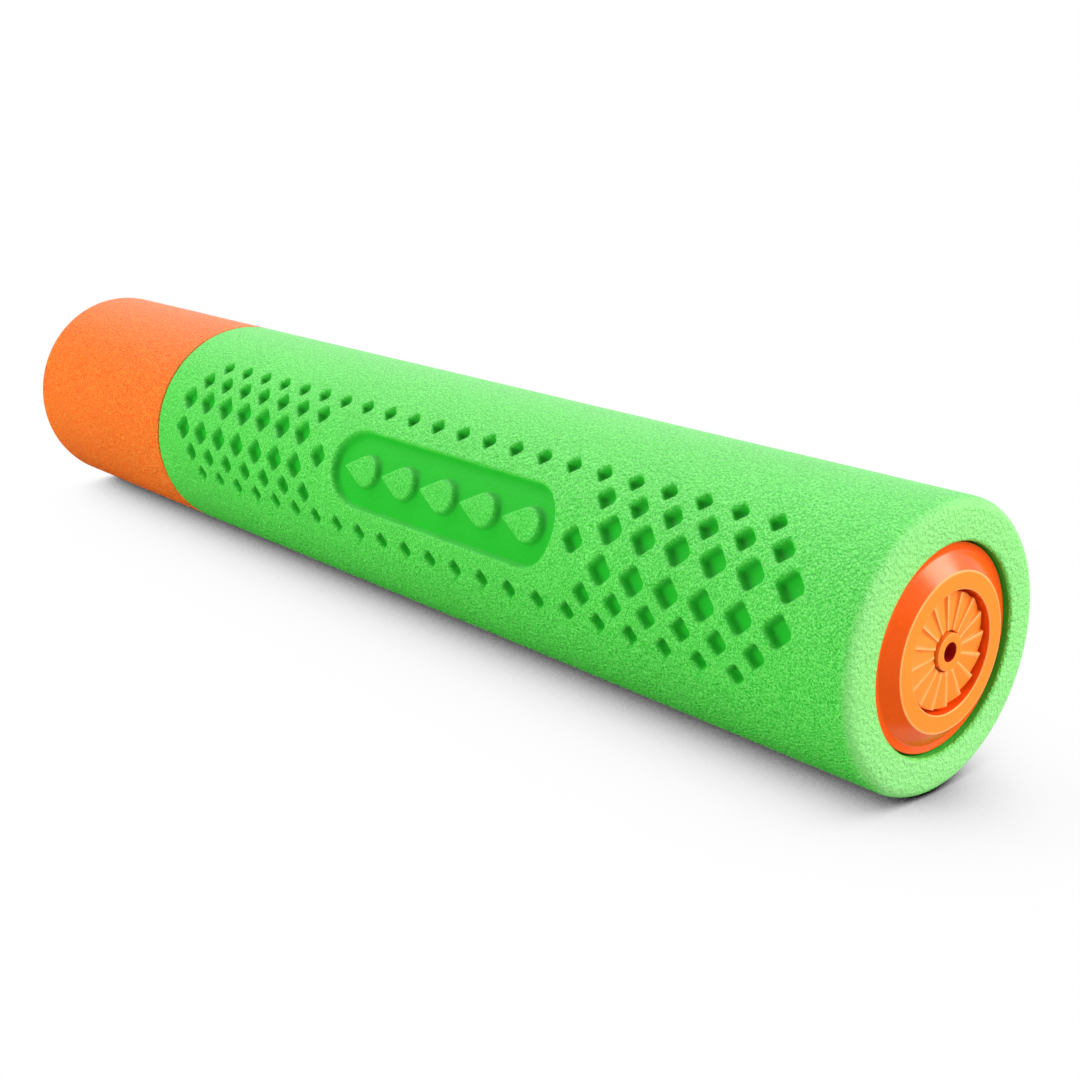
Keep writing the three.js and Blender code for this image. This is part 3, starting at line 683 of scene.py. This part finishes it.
def stamped_depth(along, across, field, middle, body_length):
    """How deep the stamp is at points along the tube and round the foam from the field's middle."""
    depth = np.zeros_like(along)
    for x, row, diagonal in field_diamonds(field, middle, body_length):
        near = (np.abs(along - x) < diagonal) & (np.abs(across - row) < diagonal)
        corner = field.corner * diagonal / field.inner_diamond
        gap = diamond_distance(along[near] - x, across[near] - row, diagonal, corner)
        depth[near] = np.maximum(depth[near], field.depth * pressed(gap, field.lip, field.wall))
    plaque = middle + field.plaque_shift
    edge = plaque_distance(along - plaque, across, field)
    sunk = field.plaque_depth * pressed(edge, field.lip, field.wall)
    drops = math.floor((field.plaque_length - field.drop_radius) / field.drop_pitch)
    lead = (field.drop_tail - field.drop_radius) / 2
    for drop in range(drops):
        head = plaque + (drop - (drops - 1) / 2) * field.drop_pitch + lead
        raised = pressed(drop_distance(along - head, across, field), field.drop_lip, field.drop_wall)
        sunk = sunk + (np.minimum(sunk, field.drop_sink) - sunk) * raised
    return np.maximum(depth, sunk)


def shape_foam(shape, foam, out, bore, free_end, depth_at):
    """Sinks a foam tube's skin by its stamps and a slight wander, and marks its bore and its cut end."""
    stamped = shape.verts.layers.float.new("stamped")
    cut = shape.verts.layers.float.new("cut")
    points = list(shape.verts)
    places = np.array([point.co for point in points])
    outward = places[:, 1:] - np.array([0.0, AXIS])
    distance = np.hypot(outward[:, 0], outward[:, 1])
    skin = distance > out - ON_SKIN
    depth = np.zeros(len(points))
    depth[skin] = depth_at(places[skin, 0], np.arctan2(outward[skin, 1], -outward[skin, 0]))
    deepest = max(depth.max(), foam.swell)
    for point, on_skin, away, sunk in zip(points, skin, distance, depth):
        if not on_skin:
            rim = (out - away) / (CUT_FADE * foam.end_rounding)
            mouth = (away - bore) / foam.bore_rounding
            at_end = abs(point.co.x - free_end) < CUT_REACH * foam.end_rounding
            point[cut] = max(0.0, min(1.0, rim, mouth)) if at_end else 0.0
            # Painted shade: the bore's wall takes the pressed colour, for the shade in the gap round the
            # plastic inside
            point[stamped] = 1.0 if away < bore + LEVEL else 0.0
            continue
        swell = foam.swell * (noise.noise(point.co / foam.swell_width) - 1) / 2
        new = out - sunk + swell
        point.co.y *= new / away
        point.co.z = AXIS + (point.co.z - AXIS) * new / away
        # The pressed colour on a stamp is partly painted shade of the pocket
        point[stamped] = min(PRESSED_RISE * sunk / deepest, 1.0)


class SQUIRTER_OT_body_foam(bpy.types.Operator):
    """Models the body's foam tube with its stamped fields"""

    bl_idname = "squirter.body_foam"
    bl_label = "Body foam"

    def execute(self, context):
        foam = context.scene.squirter_foam
        field = context.scene.squirter_field
        rear, front = span("body_foam")
        out = radius("body_foam")
        bore = radius("barrel_tube") + foam.bore_gap
        middle = (rear + front) / 2
        shape = foam_tube(foam, front, rear, out, bore)
        turns = [field.turn, field.turn + math.pi]
        half_width = field.outer_row + field.outer_diamond / 2 + foam.facet / 2
        half_length = (front - rear) / 2 - field.end_margin + field.inner_diamond / 2 + foam.facet

        def across(turn_of_point, turn):
            """How far round the foam a point lies from a turn, the shorter way."""
            return ((turn_of_point - turn + math.pi) % (2 * math.pi) - math.pi) * out

        def in_field(point):
            """Whether a point lies on the skin of a stamped field."""
            turn = math.atan2(point.co.z - AXIS, -point.co.y)
            near = min(abs(across(turn, middle_turn)) for middle_turn in turns)
            on_skin = distance_out(point) > out - ON_SKIN
            return on_skin and near < half_width and abs(point.co.x - middle) < half_length

        def depth_at(along, turn_of_point):
            """How deep the foam is stamped at points along the tube and round it."""
            places = [across(turn_of_point, turn) for turn in turns]
            depths = [stamped_depth(along, place, field, middle, front - rear) for place in places]
            return np.maximum(*depths)

        fine = edges_within(shape, {point for point in shape.verts if in_field(point)})
        bmesh.ops.subdivide_edges(shape, edges=fine, cuts=foam.fine_cuts, use_grid_fill=True)
        shape_foam(shape, foam, out, bore, front, depth_at)
        piece = add_piece(context, "body_sleeve", shape, "green_foam", "body", "body_foam")
        return {"FINISHED"}


class SQUIRTER_OT_handle_foam(bpy.types.Operator):
    """Models the handle's foam tube"""

    bl_idname = "squirter.handle_foam"
    bl_label = "Handle foam"

    def execute(self, context):
        foam = context.scene.squirter_foam
        rear, front = span("handle_foam")
        out = radius("handle_foam")
        bore = radius("handle_core") + foam.bore_gap
        shape = foam_tube(foam, rear, front, out, bore)
        shape_foam(shape, foam, out, bore, rear, lambda along, turn: np.zeros_like(along))
        piece = add_piece(context, "handle_sleeve", shape, "orange_foam", "plunger", "handle_foam")
        return {"FINISHED"}


# Plastic

def white_piece(context, name, profile, body, stands_for, steps=PLASTIC_STEPS, closed=True):
    """A round piece of white plastic with rounded edges."""
    shape = spun(profile, steps, closed)
    round_edges(shape, sharp_edges(shape), context.scene.squirter_plastic.edge)
    return add_piece(context, name, shape, "white_plastic", body, stands_for)


class SQUIRTER_OT_nozzle_cap(bpy.types.Operator):
    """Models the nozzle cap with its flange, cone, flat ring, recess and nozzle tube"""

    bl_idname = "squirter.nozzle_cap"
    bl_label = "Nozzle cap"

    def execute(self, context):
        sizes = context.scene.squirter_plastic
        rear, face = span("nozzle_cap")
        out = radius("nozzle_cap")
        flange = face - sizes.flange_depth
        cone_base = out - sizes.ledge
        cone_top = cone_base - sizes.cone_width
        recess = cone_top - sizes.ring_width
        floor = face - sizes.recess_depth
        mouth = face - sizes.nozzle_sink
        spigot = out - sizes.spigot_inset
        bore = spigot - sizes.spigot_wall
        inside = floor - sizes.cap_wall
        profile = [
            (rear, bore),
            (rear, spigot),
            (flange - sizes.flange, spigot),
            (flange - sizes.flange, out),
            (flange, out),
            (flange, cone_base),
            (face, cone_top),
            (face, recess),
            (floor, recess),
            (floor, sizes.nozzle_radius),
            (mouth, sizes.nozzle_radius),
            (mouth, sizes.nozzle_hole),
            (inside, sizes.nozzle_hole),
            (inside, bore),
        ]
        shape = spun(profile, PLASTIC_STEPS)
        fine = [
            *ring_edges(shape, mouth, sizes.nozzle_hole),
            *ring_edges(shape, mouth, sizes.nozzle_radius),
        ]
        round_edges(shape, fine, sizes.fine_edge)
        # The least angle leaves out the facets of the edges that are rounded already
        round_edges(shape, sharp_edges(shape, least=math.radians(35)), sizes.edge)
        etched = shape.verts.layers.float.new("etched")
        # The edge mark carries a painted highlight along the rounded corners of the flat ring and the
        # nozzle tube
        thin = shape.verts.layers.float.new("edge")
        painted_hole_shade = shape.verts.layers.float.new("painted_hole_shade")
        corners = [
            (face, cone_top, sizes.edge),
            (face, recess, sizes.edge),
            (mouth, sizes.nozzle_radius, sizes.fine_edge),
        ]
        for point in shape.verts:
            x = point.co.x
            away = distance_out(point)
            on_tube = sizes.nozzle_hole < away < sizes.nozzle_radius + LEVEL and x > floor - LEVEL
            in_painted_highlight = any(
                math.hypot(x - at, away - out_at) < PAINTED_HIGHLIGHT_REACH * size for at, out_at, size in corners
            )
            # Painted shade, a dark red, on the hole's wall below the nozzle's mouth
            in_hole = away < sizes.nozzle_hole + LEVEL and x < mouth - sizes.fine_edge / 2
            point[etched] = 1.0 if x > face - LEVEL or on_tube else 0.0
            point[thin] = 1.0 if in_painted_highlight else 0.0
            point[painted_hole_shade] = 1.0 if in_hole else 0.0
        piece = add_piece(context, "front_cap", shape, "orange_gloss_plastic", "body", "nozzle_cap")
        even_shading(piece)
        return {"FINISHED"}


class SQUIRTER_OT_vane_ring(bpy.types.Operator):
    """Models the ring of sawtooth vanes round the nozzle"""

    bl_idname = "squirter.vane_ring"
    bl_label = "Vane ring"

    def execute(self, context):
        sizes = context.scene.squirter_plastic
        rear, ridge = span("vane_ring")
        out = radius("vane_ring")
        inner = sizes.nozzle_radius + sizes.fit_gap
        step = 2 * math.pi / sizes.vanes
        slope = sizes.vane_height / (out * step)
        low_turn = -step + sizes.vane_draft
        half = 0.5

        def ramp(turn, distance):
            """Where a vane's ramp is along X, at a turn from its ridge and a distance from the axis."""
            return ridge - slope * distance * math.sin(abs(turn))

        shape = bmesh.new()
        bmesh.ops.create_grid(shape, x_segments=4, y_segments=5, size=half)
        crest = {point for point in shape.verts if point.co.x > half - NEAR}
        for point in shape.verts:
            turn = low_turn * (half - point.co.x)
            distance = inner + (out - inner) * (point.co.y + half)
            point.co = round_point(ramp(turn, distance), distance, sizes.vane_phase + turn)
        for point in extruded(shape, edges_within(shape, crest)):
            distance = distance_out(point)
            foot = sizes.vane_phase + sizes.vane_draft
            point.co = round_point(ramp(low_turn, distance), distance, foot)
        repeat_round(shape, sizes.vanes)
        bmesh.ops.remove_doubles(shape, verts=shape.verts, dist=NEAR)
        for point in extruded(shape, open_edges(shape)):
            point.co.x = rear
        bmesh.ops.bridge_loops(shape, edges=open_edges(shape))
        bmesh.ops.recalc_face_normals(shape, faces=shape.faces)
        round_edges(shape, sharp_edges(shape), sizes.fine_edge, segments=2)
        # The edge mark carries a painted highlight along the vanes' ridges
        thin = shape.verts.layers.float.new("edge")
        for point in shape.verts:
            point[thin] = 1.0 if point.co.x > ridge - sizes.fine_edge / 2 else 0.0
        piece = add_piece(context, "front_vanes", shape, "orange_matte_plastic", "body", "vane_ring")
        even_shading(piece)
        return {"FINISHED"}


class SQUIRTER_OT_rear_cap(bpy.types.Operator):
    """Models the barrel's rear cap with the rod's sleeve and its vents"""

    bl_idname = "squirter.rear_cap"
    bl_label = "Rear cap"

    def execute(self, context):
        sizes = context.scene.squirter_plastic
        rear = span("rear_cap")[0]
        out = radius("rear_cap")
        front = rear + sizes.disc
        hole = radius("rod_tube") + sizes.fit_gap
        sleeve = hole + sizes.guide_wall
        spigot = out - sizes.spigot_inset
        spigot_bore = spigot - sizes.rear_spigot_wall
        profile = [
            (rear, hole),
            (rear, out),
            (front, out),
            (front, spigot),
            (front + sizes.rear_spigot, spigot),
            (front + sizes.rear_spigot, spigot_bore),
            (front, spigot_bore),
            (front, sleeve),
            (front + sizes.guide_length, sleeve),
            (front + sizes.guide_length, hole),
        ]
        piece = white_piece(context, "barrel_rear_cap", profile, "body", "rear_cap")
        vent_place = (spigot_bore + sleeve) / 2
        first_vent = math.pi / sizes.vents
        drill = bmesh.new()
        bmesh.ops.create_cone(
            drill,
            cap_ends=True,
            segments=VENT_STEPS,
            radius1=sizes.vent_radius,
            radius2=sizes.vent_radius,
            depth=3 * sizes.disc,
        )
        bmesh.ops.rotate(drill, verts=drill.verts, matrix=Matrix.Rotation(math.pi / 2, 3, "Y"))
        bmesh.ops.translate(drill, verts=drill.verts, vec=((rear + front) / 2, vent_place, AXIS))
        bmesh.ops.rotate(drill, verts=drill.verts, cent=CENTRE, matrix=Matrix.Rotation(first_vent, 3, "X"))
        repeat_round(drill, sizes.vents)
        bmesh.ops.recalc_face_normals(drill, faces=drill.faces)
        cut_away(context, piece, drill)
        even_shading(piece)
        return {"FINISHED"}


class SQUIRTER_OT_plunger(bpy.types.Operator):
    """Models the rod and the plastic pieces of the handle"""

    bl_idname = "squirter.plunger"
    bl_label = "Plunger"

    def execute(self, context):
        sizes = context.scene.squirter_plastic
        self.rod(context, sizes)
        self.core(context, sizes)
        self.end_cap(context, sizes)
        return {"FINISHED"}

    def rod(self, context, sizes):
        """Models the rod, a thin-walled tube."""
        rear, front = span("rod_tube")
        out = radius("rod_tube")
        bore = out - sizes.rod_wall
        profile = [(rear, bore), (rear, out), (front, out), (front, bore)]
        even_shading(white_piece(context, "plunger_rod", profile, "plunger", "rod_tube", ROD_STEPS))

    def core(self, context, sizes):
        """Models the handle's core, a cup with a socket for the rod."""
        rear, front = span("handle_core")
        out = radius("handle_core")
        socket = radius("rod_tube") + sizes.fit_gap
        disc = front - sizes.disc
        bottom = front - sizes.socket_depth
        boss = socket + sizes.guide_wall
        sleeve_bore = radius("handle_end_cap") - sizes.end_spigot_inset + sizes.fit_gap
        profile = [
            (bottom - sizes.socket_floor, sizes.screw_hole),
            (bottom - sizes.socket_floor, boss),
            (disc, boss),
            (disc, sleeve_bore),
            (rear, sleeve_bore),
            (rear, out),
            (front, out),
            (front, socket),
            (bottom, socket),
            (bottom, sizes.screw_hole),
        ]
        even_shading(white_piece(context, "grip_core", profile, "plunger", "handle_core"))

    def end_cap(self, context, sizes):
        """Models the dished cap that closes the handle's core."""
        rear, front = span("handle_end_cap")
        out = radius("handle_end_cap")
        flange = rear + sizes.end_flange
        dish = out - sizes.end_rim
        spigot = out - sizes.end_spigot_inset
        spigot_bore = spigot - sizes.end_spigot_wall
        profile = [
            (rear + sizes.end_dish, 0.0),
            (rear + sizes.end_dish, dish - sizes.end_dish),
            (rear, dish),
            (rear, out),
            (flange, out),
            (flange, spigot),
            (front, spigot),
            (front, spigot_bore),
            (flange, spigot_bore),
            (flange, 0.0),
        ]
        piece = white_piece(context, "grip_end_cap", profile, "plunger", "handle_end_cap", closed=False)
        even_shading(piece)


class SQUIRTER_OT_inner_pieces(bpy.types.Operator):
    """Finishes the inner pieces, whose frame nodes stay"""

    bl_idname = "squirter.inner_pieces"
    bl_label = "Inner pieces"

    def execute(self, context):
        slots = {part["node"]: part["material_slot"] for part in frame["record"]["subparts"]}
        for name, inner in frame["nodes"].items():
            if inner.hide_render:
                continue
            inner.data.materials.clear()
            inner.data.materials.append(finish(context, slots[name]))
        return {"FINISHED"}


# Stage

CAMERA_PLACE = (0.27017, -0.20152, 0.1154)
CAMERA_AIM = (0.01475, 0.02257, 0.00994)
CAMERA_LENS = 52.45
CAMERA_NEAR = 0.01

# Half the floor's width, its grey in the light that it throws back, and the black of the cards
FLOOR_HALF = 3.0
FLOOR_GREY = "#C4C4C4"
CARD_BLACK = "#101010"

# The even light from all round
AMBIENT = 0.24

# The painted shadow: how far the tube is felt, which way the sky is looked for, its gain, its fall and its
# samples
SHADOW_REACH = 0.3
SHADOW_TILT = (-0.62, 0.0, 0.78)
SHADOW_GAIN = 1.24
SHADOW_FALL = 4.4
SHADOW_SAMPLES = 16

# Softboxes: name, place, point lit, width, depth, power in watts, and whether reflections show them
SOFTBOXES = [
    ("top_softbox", (-0.43, 0.11, 0.84), (0.04, 0.0, 0.03), 1.26, 0.63, 6.9, True),
    ("side_softbox", (-0.35, -0.75, 0.08), (0.0, 0.0, 0.03), 0.9, 0.12, 6.0, False),
    ("nozzle_softbox", (0.6, 0.46, 0.5), (0.1, 0.0, 0.03), 0.42, 0.42, 5.4, True),
    ("front_softbox", (0.9, -0.12, 0.1), (0.14, 0.0, 0.02), 0.3, 0.15, 2.4, False),
]

# Dark cards, which only reflections show: name, place, point faced, half width, half height
CARDS = [
    ("side_card", (-0.6, -0.5, 0.25), (0.0, 0.0, 0.03), 0.8, 0.33),
    ("camera_card", (0.75, -0.62, 0.3), (0.0, 0.0, 0.03), 0.55, 0.55),
    ("floor_card", (0.0, -0.336, 0.003), (0.0, -0.336, 1.0), 0.7, 0.323),
    ("nozzle_card", (0.33, 0.15, 0.004), (0.33, 0.15, 1.0), 0.187, 0.25),
]


def shown_rays(tree):
    """1 for the rays that show a thing to the camera, also in gloss or glass, and 0 for the rest."""
    path = node(tree, "LightPath", {})
    rays = {0: path["Is Camera Ray"], 1: path["Is Glossy Ray"]}
    seen = node(tree, "Math", rays, operation="MAXIMUM")["Value"]
    return node(tree, "Math", {0: seen, 1: path["Is Transmission Ray"]}, operation="MAXIMUM")["Value"]


def paper_floor():
    """Matt white paper, as white as the ground behind it, with a painted shadow where the tube hides the
    sky.
    """
    material, tree = new_material("white_paper")
    tilt = node(tree, "CombineXYZ", dict(zip("XYZ", SHADOW_TILT)))["Vector"]
    sky_inputs = {"Distance": SHADOW_REACH, "Normal": tilt}
    sky = node(tree, "AmbientOcclusion", sky_inputs, samples=SHADOW_SAMPLES)["AO"]
    # Painted shadow: the white glow is dimmed by how much of the tilted sky the tube hides
    hidden_inputs = {0: sky, 1: -SHADOW_GAIN, 2: SHADOW_GAIN}
    hidden = node(tree, "Math", hidden_inputs, operation="MULTIPLY_ADD")["Value"]
    shadow = node(tree, "Math", {0: hidden, 1: SHADOW_FALL}, operation="POWER", use_clamp=True)["Value"]
    level = node(tree, "Math", {0: 1.0, 1: shadow}, operation="SUBTRACT")["Value"]
    white = node(tree, "Emission", {"Color": linear(WHITE), "Strength": level})["Emission"]
    grey = node(tree, "BsdfDiffuse", {"Color": linear(FLOOR_GREY)})["BSDF"]
    surface = node(tree, "MixShader", {0: shown_rays(tree), 1: grey, 2: white})["Shader"]
    node(tree, "OutputMaterial", {"Surface": surface})
    return material


def dark_card():
    """Black flocked card, which gives back almost no light."""
    material, tree = new_material("black_card")
    surface = node(tree, "BsdfDiffuse", {"Color": linear(CARD_BLACK)})["BSDF"]
    node(tree, "OutputMaterial", {"Surface": surface})
    return material


def studio_world(scene):
    """White behind everything, and an even light of its own."""
    world = bpy.data.worlds.new("studio")
    world.use_nodes = True
    tree = world.node_tree
    tree.nodes.clear()
    level = node(tree, "MapRange", {"Value": shown_rays(tree), "To Min": AMBIENT, "To Max": 1.0})["Result"]
    light = node(tree, "Background", {"Color": linear(WHITE), "Strength": level})["Background"]
    node(tree, "OutputWorld", {"Surface": light})
    scene.world = world


def aim(thing, place, target):
    """Puts a lamp, a card or the camera at a place and points it at a target."""
    thing.location = place
    thing.rotation_euler = (Vector(target) - Vector(place)).to_track_quat("-Z", "Y").to_euler()


class SQUIRTER_OT_stage(bpy.types.Operator):
    """Sets up the floor, the lights, the dark cards and the camera"""

    bl_idname = "squirter.stage"
    bl_label = "Stage"

    def execute(self, context):
        scene = context.scene
        scene.view_settings.view_transform = "Standard"
        studio_world(scene)
        self.sheet(scene, "floor", paper_floor(), FLOOR_HALF, FLOOR_HALF)
        for name, place, target, width, depth, power, mirrored in SOFTBOXES:
            lamp = bpy.data.lights.new(name, "AREA")
            lamp.shape = "RECTANGLE"
            lamp.size = width
            lamp.size_y = depth
            lamp.energy = power
            box = bpy.data.objects.new(name, lamp)
            scene.collection.objects.link(box)
            aim(box, place, target)
            box.visible_camera = False
            box.visible_glossy = mirrored
        black = dark_card()
        for name, place, target, width, height in CARDS:
            card = self.sheet(scene, name, black, width, height)
            aim(card, place, target)
            card.visible_camera = False
            card.visible_diffuse = False
            card.visible_shadow = False
        camera = bpy.data.objects.new("camera", bpy.data.cameras.new("camera"))
        camera.data.lens = CAMERA_LENS
        camera.data.clip_start = CAMERA_NEAR
        scene.collection.objects.link(camera)
        aim(camera, CAMERA_PLACE, CAMERA_AIM)
        scene.camera = camera
        return {"FINISHED"}

    def sheet(self, scene, name, material, width, height):
        """A flat sheet of the stage, given by half its width and height."""
        shape = bmesh.new()
        bmesh.ops.create_grid(shape, x_segments=1, y_segments=1, size=1.0)
        bmesh.ops.scale(shape, verts=shape.verts, vec=(width, height, 1.0))
        mesh = bpy.data.meshes.new(name)
        shape.to_mesh(mesh)
        shape.free()
        mesh.materials.append(material)
        sheet = bpy.data.objects.new(name, mesh)
        scene.collection.objects.link(sheet)
        sheet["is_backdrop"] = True
        return sheet


# Panel and registration

OPERATORS = [
    SQUIRTER_OT_stage,
    SQUIRTER_OT_body_foam,
    SQUIRTER_OT_handle_foam,
    SQUIRTER_OT_nozzle_cap,
    SQUIRTER_OT_vane_ring,
    SQUIRTER_OT_rear_cap,
    SQUIRTER_OT_plunger,
    SQUIRTER_OT_inner_pieces,
]

GROUPS = {
    "squirter_foam": SquirterFoam,
    "squirter_field": SquirterField,
    "squirter_plastic": SquirterPlastic,
    "squirter_colours": SquirterColours,
}


class SQUIRTER_PT_panel(bpy.types.Panel):
    """Lists the pieces of the squirter with their sizes and colours"""

    bl_idname = "SQUIRTER_PT_panel"
    bl_label = "Foam water squirter"
    bl_space_type = "VIEW_3D"
    bl_region_type = "UI"
    bl_category = "Squirter"

    def draw(self, context):
        for operator in OPERATORS:
            self.layout.operator(operator.bl_idname)
        for name in GROUPS:
            group = getattr(context.scene, name)
            box = self.layout.box()
            for key in group.bl_rna.properties.keys():
                if key not in {"rna_type", "name"}:
                    box.prop(group, key)


def register():
    """Registers the classes and adds their properties to the scene."""
    for kind in [*GROUPS.values(), *OPERATORS, SQUIRTER_PT_panel]:
        bpy.utils.register_class(kind)
    for name, group in GROUPS.items():
        setattr(bpy.types.Scene, name, bpy.props.PointerProperty(type=group))


def unregister():
    """Takes the properties and the classes away again."""
    for name in GROUPS:
        delattr(bpy.types.Scene, name)
    for kind in [SQUIRTER_PT_panel, *reversed(OPERATORS), *reversed(GROUPS.values())]:
        bpy.utils.unregister_class(kind)


def main():
    """Builds the squirter."""
    register()
    for operator in OPERATORS:
        group, name = operator.bl_idname.split(".")
        getattr(getattr(bpy.ops, group), name)()
    boxes = {"cad": CAD_BOX, "visual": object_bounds()}
    {name: [list(corner) for corner in box] for name, box in boxes.items()}


if __name__ == "__main__":
    main()
